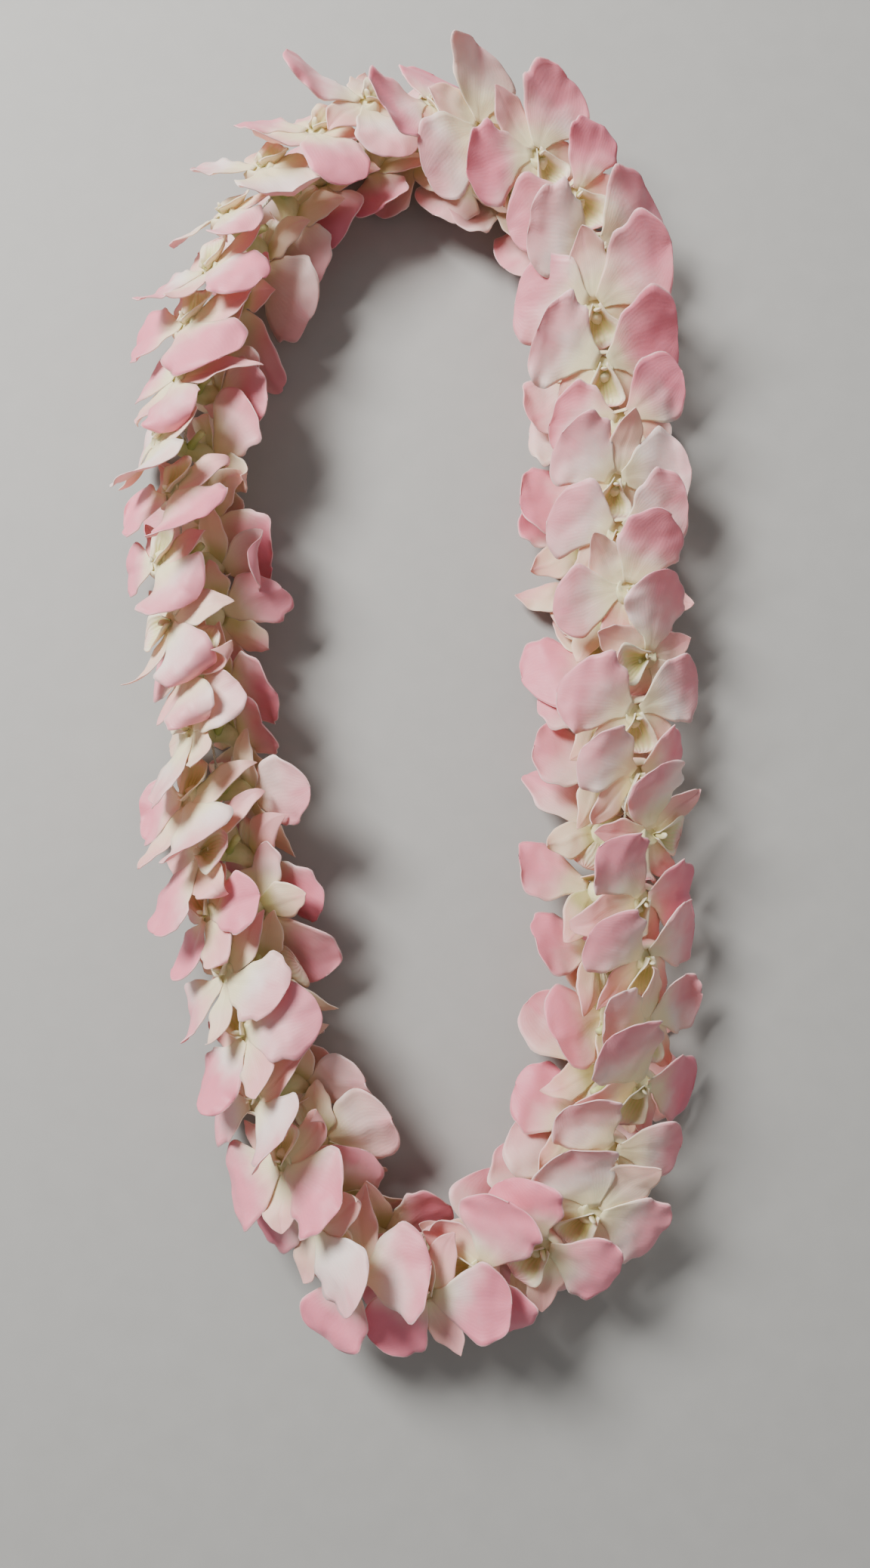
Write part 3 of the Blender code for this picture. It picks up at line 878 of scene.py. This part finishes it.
thread_mesh = ply_curve("plies", [wound(string, phase) for phase in (0, math.pi)], PLY_RADIUS, True)
print("faces in the plies:", len(thread_mesh.polygons))

# %% Tie the knot
KNOT_PLACE = 23
KNOT_RADIUS = 1.7 * MM
KNOT_TURNS = 2
KNOT_STEPS = 24
KNOT_WIDTH = 0.62
KNOT_WAVE = 0.28
KNOT_WAVES = 1.5
KNOT_LENGTH = 0.6
TAIL_LENGTH = 6.0 * MM
TAIL_STEPS = 6
TAIL_RISE = 0.35
TAIL_SLANT = 0.5
# The knot's cord is a little thinner than the spun thread, because it is pulled tight.
KNOT_CORD = 0.9


def cut_end(spot, way):
    """The points of a cut end, from the knot outwards."""
    return [spot + way * TAIL_LENGTH * (step + 2) / TAIL_STEPS for step in range(TAIL_STEPS - 1)]


def knot_run(spot, way):
    """The line of an overhand knot round a spot, with its two cut ends."""
    up = Vector((0, 0, 1))
    across = way.cross(up).normalized()
    first, last = ((up * TAIL_RISE + (way * TAIL_SLANT + across) * end).normalized() for end in (1, -1))
    points = cut_end(spot, first)[::-1]
    for step in range(KNOT_STEPS + 1):
        turn = math.tau * KNOT_TURNS * step / KNOT_STEPS
        wide = KNOT_RADIUS * (KNOT_WIDTH + KNOT_WAVE * math.cos(KNOT_WAVES * turn))
        ring = (across * math.cos(turn) + up * math.sin(turn)) * wide
        points.append(spot + ring + way * KNOT_RADIUS * KNOT_LENGTH * math.sin(KNOT_WAVES * turn))
    return points + cut_end(spot, last)


knot_way = (string[KNOT_PLACE + 1] - string[KNOT_PLACE]).normalized()
knot_line = knot_run(string[KNOT_PLACE], knot_way)
knot_mesh = ply_curve("knot", [knot_line], THREAD_RADIUS * KNOT_CORD, False)
whole = bmesh.new()
whole.from_mesh(thread_mesh)
whole.from_mesh(knot_mesh)
bmesh.ops.recalc_face_normals(whole, faces=whole.faces)
for face in whole.faces:
    face.smooth = True
whole.to_mesh(thread_mesh)
whole.free()
bpy.data.meshes.remove(knot_mesh)
thread = bpy.data.objects.new("spun_thread", thread_mesh)
bpy.context.scene.collection.objects.link(thread)
print("faces in the thread:", len(thread_mesh.polygons))

# %% [markdown]
# ## Shader maths
#
# Each finish is a Principled shader whose colour, roughness and bump come from nodes. The blush of a petal
# and the veins of a sepal follow the leaf, so they read the numbers that were stored on its points. Small
# grain reads Object coordinates. A class wraps a node's output, so a finish can be written as a sum.

# %% The wire class
class Wire:
    """A node's output. Python's operators on it add Math nodes to the same material."""

    def __init__(self, tree, socket=None):
        self.tree = tree
        self.socket = socket

    def node(self, kind, settings, inputs, output=0):
        """Adds any node: its settings first, then its sockets' values or links."""
        made = self.tree.nodes.new(kind)
        for name, value in settings.items():
            setattr(made, name, value)
        for name, value in inputs.items():
            if isinstance(value, Wire):
                self.tree.links.new(value.socket, made.inputs[name])
            else:
                made.inputs[name].default_value = value
        return Wire(self.tree, made.outputs[output])

    def math(self, operation, first, second):
        return self.node("ShaderNodeMath", {"operation": operation}, {0: first, 1: second})

    def __add__(self, other):
        return self.math("ADD", self, other)

    __radd__ = __add__

    def __sub__(self, other):
        return self.math("SUBTRACT", self, other)

    def __rsub__(self, other):
        return self.math("SUBTRACT", other, self)

    def __mul__(self, other):
        return self.math("MULTIPLY", self, other)

    __rmul__ = __mul__

    def __abs__(self):
        return self.math("ABSOLUTE", self, 0.0)

    def sine(self):
        """The sine of a number, from -1 to 1."""
        return self.math("SINE", self, 0.0)

    def step(self, low, high):
        """0 below low, 1 above high and a smooth rise between."""
        inputs = {"Value": self, "From Min": low, "From Max": high}
        return self.node("ShaderNodeMapRange", {"interpolation_type": "SMOOTHSTEP"}, inputs)

    def mix(self, first, second):
        """The first colour where this is 0 and the second where it is 1."""
        colours = [value if isinstance(value, Wire) else (*value, 1) for value in (first, second)]
        return self.node("ShaderNodeMix", {"data_type": "RGBA"}, {0: self, 6: colours[0], 7: colours[1]}, 2)

    def value(self, name):
        """A number that was stored on the points."""
        return self.node("ShaderNodeAttribute", {"attribute_name": name}, {}, "Fac")

    def noise(self, scale, detail=2.0):
        """Soft noise from 0 to 1 in Object coordinates."""
        place = self.node("ShaderNodeTexCoord", {}, {}, "Object")
        return self.node("ShaderNodeTexNoise", {}, {"Vector": place, "Scale": scale, "Detail": detail})

    def bump(self, height, distance, strength=1.0):
        """A normal that height raises by up to distance."""
        return self.node("ShaderNodeBump", {}, {"Height": height, "Distance": distance, "Strength": strength})


def start_finish(name):
    """A new material and a wire to build on."""
    material = bpy.data.materials.new(name)
    material.use_nodes = True
    return material, Wire(material.node_tree)


def end_finish(material, inputs):
    """Sets or links the Principled shader's sockets."""
    shader = material.node_tree.nodes["Principled BSDF"]
    for name, value in inputs.items():
        if isinstance(value, Wire):
            material.node_tree.links.new(value.socket, shader.inputs[name])
        else:
            shader.inputs[name].default_value = value
    print("finish:", material.name, len(material.node_tree.nodes), "nodes")
    return material


# %% [markdown]
# ## Petals
#
# A petal is cream white at its root and in its middle. Its blush is deepest at the tip and on the side
# towards the top sepal, and it fades in soft patches. Fine veins run lengthwise and fan out, and a thin pale
# rim is painted on as a highlight where the margin catches the light. Light enters a petal a little, which a
# small, constant Subsurface gives.

# %% Petal and sepal finishes
CREAM = (0.87, 0.78, 0.49)
PALE = (0.92, 0.80, 0.75)
PINK = (0.87, 0.38, 0.42)
ROSE = (0.80, 0.20, 0.29)
PEACH = (0.88, 0.50, 0.38)
SOFT_PEACH = (0.89, 0.67, 0.55)
BACK_PINK = (0.89, 0.65, 0.60)
BACK_PEACH = (0.88, 0.72, 0.52)
LEAF_GREEN = (0.56, 0.58, 0.22)
SKIN = {
    "Metallic": 0.0, "Subsurface Weight": 0.22, "Subsurface Radius": (1.0, 0.45, 0.35),
    "Subsurface Scale": 0.0015, "Sheen Weight": 0.15,
}
# How much the place along and across a leaf, the patches and the leaf's own blush count for its flush.
BY_ALONG = 0.8
BY_ACROSS = 0.12
BY_PATCH = 0.7
BY_BLUSH = 0.35
# How far the flush takes to come in, and where the deepest colour starts and is full.
FLUSH_RUN = 0.6
DEEP_START = 0.45
DEEP_FULL = 0.95
# The waves of noise to a metre for patches, soft dents and fine grain.
PATCHES = 55
DENTS = 160
GRAIN = 1400
VEINS = 60.0


def veins(wire, fine):
    """Lengthwise lines that fan out over a leaf, from 0 to 1, broken up by noise."""
    across = wire.value("across") + (wire.noise(180) - 0.5) * 0.12
    return (across * fine).sine() * 0.5 + 0.5


def leaf_finish(name, base, base_until, body, flush, deep, flush_from, vein_depth):
    """A leaf's finish: its base colour at the root, its body colour, and its blush towards the tip."""
    material, wire = start_finish(name)
    along, across, blush, warmth = (wire.value(part) for part in NUMBERS)
    patches = wire.noise(PATCHES, 3.0)
    reach = along * BY_ALONG + across * BY_ACROSS + (patches - 0.5) * BY_PATCH + (blush - 0.5) * BY_BLUSH
    flushed = reach.step(flush_from, flush_from + FLUSH_RUN)
    crease = (1 - abs(across).step(0.0, 0.22)) * along.step(0.55, 1.0)
    deepest = (reach + blush * 0.3 + crease * 0.35).step(flush_from + DEEP_START, flush_from + DEEP_FULL)
    colour = (along - warmth * 0.22).step(0.0, base_until).mix(base, body)
    colour = (warmth * patches.step(0.35, 0.65) * 0.45).mix(colour, CREAM)
    colour = (flushed * (blush * 0.55 + 0.43)).mix(colour, flush)
    colour = (deepest * blush * 0.8).mix(colour, deep)
    lines = veins(wire, VEINS)
    colour = (lines * vein_depth * (1 - flushed * 0.4)).mix(colour, flush)
    # Painted highlight: a thin pale band along the margins, standing for the light that the edge catches.
    rim = abs(across).step(0.95, 1.0) * 0.4
    colour = rim.mix(colour, PALE)
    grain = wire.noise(GRAIN, 2.0)
    height = lines * 0.12 + grain * 0.25 + wire.noise(DENTS, 3.0) * 1.6
    end_finish(material, {
        **SKIN, "Base Color": colour, "Roughness": 0.44 + grain * 0.16,
        "Normal": wire.bump(height, 0.25 * MM, 0.5),
    })
    return material


petal_front = leaf_finish(
    "petal_front", CREAM, base_until=0.4, body=PALE, flush=PINK, deep=ROSE, flush_from=0.12, vein_depth=0.05,
)
petal_back = leaf_finish(
    "petal_back", CREAM, base_until=0.4, body=BACK_PINK, flush=PINK, deep=ROSE, flush_from=0.16,
    vein_depth=0.10,
)
sepal_front = leaf_finish(
    "sepal_front", CREAM, base_until=0.35, body=SOFT_PEACH, flush=PEACH, deep=PINK, flush_from=0.15,
    vein_depth=0.14,
)
sepal_back = leaf_finish(
    "sepal_back", LEAF_GREEN, base_until=0.3, body=BACK_PEACH, flush=PEACH, deep=PINK, flush_from=0.28,
    vein_depth=0.18,
)

# %% [markdown]
# ## The lip's finish
#
# The throat under the lip is olive green, painted darker near the column as shade under the standing sides.
# The standing sides are cream and the front lobe turns pink at its tip. Its veins are wider apart than a
# petal's. The back has only a trace of the green.

# %% Lip
LIP_CREAM = (0.88, 0.80, 0.60)
# The trough's own olive, darkened by painted shade where the standing sides hang over it near the column.
OLIVE_IN_PAINTED_SHADE = (0.47, 0.48, 0.14)
PALE_OLIVE = (0.72, 0.69, 0.36)
LIP_VEINS = 30.0


def lip_finish(name, hollow):
    """The lip's finish. hollow is how green its trough is."""
    material, wire = start_finish(name)
    along, across, blush = (wire.value(part) for part in NUMBERS[:3])
    # The olive runs from dark at the column to pale towards the front lobe. The darkness is painted shade
    # under the standing sides.
    inside = along.step(0.35, 0.7).mix(OLIVE_IN_PAINTED_SHADE, PALE_OLIVE)
    trough = (1 - abs(across).step(0.62, 0.84)) * (1 - along.step(0.68, 0.88)) * hollow
    colour = trough.mix(LIP_CREAM, inside)
    tip = (along + (wire.noise(220) - 0.5) * 0.3).step(0.72, 1.0) * (blush * 0.6 + 0.3)
    colour = tip.mix(colour, PINK)
    lines = veins(wire, LIP_VEINS)
    colour = (lines * 0.2).mix(colour, PEACH)
    height = lines + wire.noise(900)
    end_finish(material, {
        **SKIN, "Base Color": colour, "Roughness": 0.42 + wire.noise(700) * 0.15,
        "Normal": wire.bump(height, 0.2 * MM, 0.6),
    })
    return material


lip_front = lip_finish("lip_front", hollow=0.95)
lip_back = lip_finish("lip_back", hollow=0.3)

# %% [markdown]
# ## Chin, column, stem and thread
#
# The chin goes from yellow green at the thread to cream at the throat. The column is cream and the stem a
# fresh green that grows paler towards its cut end, and both are softly mottled. The cotton is off white, and
# fine noise stands for its fibres.

# %% Fleshy parts and cotton
CHIN_GREEN = (0.54, 0.58, 0.24)
CHIN_CREAM = (0.80, 0.74, 0.44)
COLUMN_GREEN = (0.66, 0.62, 0.30)
COLUMN_CREAM = (0.88, 0.80, 0.58)
STEM_GREEN = (0.36, 0.46, 0.12)
CUT_GREEN = (0.58, 0.62, 0.26)
COTTON_SHADE = (0.56, 0.52, 0.42)
COTTON_WHITE = (0.82, 0.80, 0.72)


def fleshy_finish(name, low, high, start, end, rough):
    """A fleshy part's finish, from the colour at its low end to the one at its high end."""
    material, wire = start_finish(name)
    along = wire.value("along") + (wire.noise(260) - 0.5) * 0.3
    mottled = wire.noise(600, 4.0)
    colour = along.step(start, end).mix(low, high)
    colour = (mottled.step(0.45, 0.8) * 0.35).mix(colour, low)
    end_finish(material, {
        **SKIN, "Base Color": colour, "Roughness": rough + mottled * 0.15,
        "Normal": wire.bump(mottled, 0.25 * MM, 0.6),
    })
    return material


def cotton_finish(name):
    """Spun cotton: off white, with fine darker fibres."""
    material, wire = start_finish(name)
    fibre = wire.noise(3200, 3.0)
    colour = fibre.step(0.35, 0.7).mix(COTTON_SHADE, COTTON_WHITE)
    end_finish(material, {
        "Base Color": colour, "Metallic": 0.0, "Roughness": 0.75 + fibre * 0.15, "Sheen Weight": 0.3,
        "Normal": wire.bump(fibre, 0.1 * MM, 0.8),
    })
    return material


chin_skin = fleshy_finish("chin_skin", CHIN_GREEN, CHIN_CREAM, start=0.1, end=0.8, rough=0.45)
column_skin = fleshy_finish("column_skin", COLUMN_GREEN, COLUMN_CREAM, start=0.2, end=0.8, rough=0.38)
stem_skin = fleshy_finish("stem_skin", STEM_GREEN, CUT_GREEN, start=0.3, end=0.95, rough=0.42)
cotton = cotton_finish("spun_cotton")

# %% [markdown]
# ## Dress the frame
#
# Each pair of fine blooms replaces its CAD pair, and the spun thread replaces the plain one. The finishes go
# into the slots that the faces already name. Clearing a mesh's materials first would send all its faces back
# to the first slot. The CAD nodes are kept, but hidden. The CAD nodes stay as they are for collision.

# %% Finishes on pieces
skins = [
    petal_front, petal_back, sepal_front, sepal_back, lip_front, lip_back, chin_skin, column_skin, stem_skin,
]
for number, piece in enumerate(pairs):
    for slot, skin in enumerate(skins):
        piece.data.materials[slot] = skin
    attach(piece, "root")
    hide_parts(f"bloom_pair_{number + 1:02d}")
thread.data.materials.append(cotton)
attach(thread, "root")
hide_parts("thread")
print("dressed nodes:", len(pairs) + 1)

# %% [markdown]
# ## Floor and light
#
# A large soft light at the upper left makes the soft shadows that fall to the right. A plain pale floor, a
# weak second light and an even sky fill them.

# %% Stage
FLOOR_SIZE = 2.0
FLOOR_DROP = 0.3 * MM
FLOOR_DARK = (0.38, 0.38, 0.37)
FLOOR_LIGHT = (0.42, 0.42, 0.41)


def pale_floor():
    """A plain pale floor just under the petals."""
    shape = bmesh.new()
    bmesh.ops.create_grid(shape, x_segments=1, y_segments=1, size=FLOOR_SIZE)
    bmesh.ops.translate(shape, verts=shape.verts, vec=(0, 0, -FLOOR_DROP))
    mesh = bpy.data.meshes.new("floor")
    shape.to_mesh(mesh)
    shape.free()
    floor = bpy.data.objects.new("floor", mesh)
    bpy.context.scene.collection.objects.link(floor)
    material, wire = start_finish("pale_floor")
    speckle = wire.noise(90, 4.0)
    end_finish(material, {
        "Base Color": speckle.mix(FLOOR_DARK, FLOOR_LIGHT), "Roughness": 0.8 + speckle * 0.1,
    })
    mesh.materials.append(material)
    return floor


def soft_light(name, spot, size, power, colour):
    """A square area light at a spot, aimed at the middle of the floor."""
    lamp = bpy.data.lights.new(name, "AREA")
    lamp.size = size
    lamp.energy = power
    lamp.color = colour
    light = bpy.data.objects.new(name, lamp)
    light.location = spot
    light.rotation_euler = (-Vector(spot)).to_track_quat("-Z", "Y").to_euler()
    bpy.context.scene.collection.objects.link(light)


pale_floor()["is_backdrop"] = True
soft_light("window", (-0.75, 0.65, 0.95), size=0.5, power=39.0, colour=(1.0, 0.98, 0.95))
soft_light("fill", (0.9, -0.7, 1.1), size=1.2, power=2.0, colour=(1.0, 0.97, 0.94))
world = bpy.data.worlds.new("soft_sky")
world.use_nodes = True
sky = world.node_tree.nodes["Background"]
sky.inputs["Color"].default_value = (0.99, 0.98, 0.97, 1)
sky.inputs["Strength"].default_value = 0.23
bpy.context.scene.world = world

# %% [markdown]
# ## The camera
#
# The lei is closer to the lens at the bottom of the photograph, so the camera stands a little below the
# middle and tilts up by a few degrees. Its distance and its angle of view come from matching the outline of
# the strand.

# %% Camera
TILT = math.radians(5.5)
DISTANCE = 0.447
AIM_HEIGHT = 0.022
AIM_SHIFT = 0.011
SENSOR_HEIGHT = 36.0
FOCAL_LENGTH = 27.0
aim = Vector((CENTRE_SHIFT[0], CENTRE_SHIFT[1] + AIM_SHIFT, AIM_HEIGHT))
forward = Vector((0, math.sin(TILT), -math.cos(TILT)))
lens = bpy.data.cameras.new("camera")
lens.sensor_fit = "VERTICAL"
lens.sensor_height = SENSOR_HEIGHT
lens.lens = FOCAL_LENGTH
camera = bpy.data.objects.new("camera", lens)
camera.location = aim - forward * DISTANCE
camera.rotation_euler = forward.to_track_quat("-Z", "Y").to_euler()
bpy.context.scene.collection.objects.link(camera)
bpy.context.scene.camera = camera
print("camera at", [round(value, 4) for value in camera.location])

# %% [markdown]
# ## Size
#
# The fine petals may stand a little proud of the CAD petals, but not more. The boxes round the CAD model
# and round the finished lei are both printed.

# %% Print both sizes
visual_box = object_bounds()
boxes = {"cad": cad_box, "visual": visual_box}
sizes = {name: [list(map(float, corner)) for corner in box] for name, box in boxes.items()}
print(sizes)
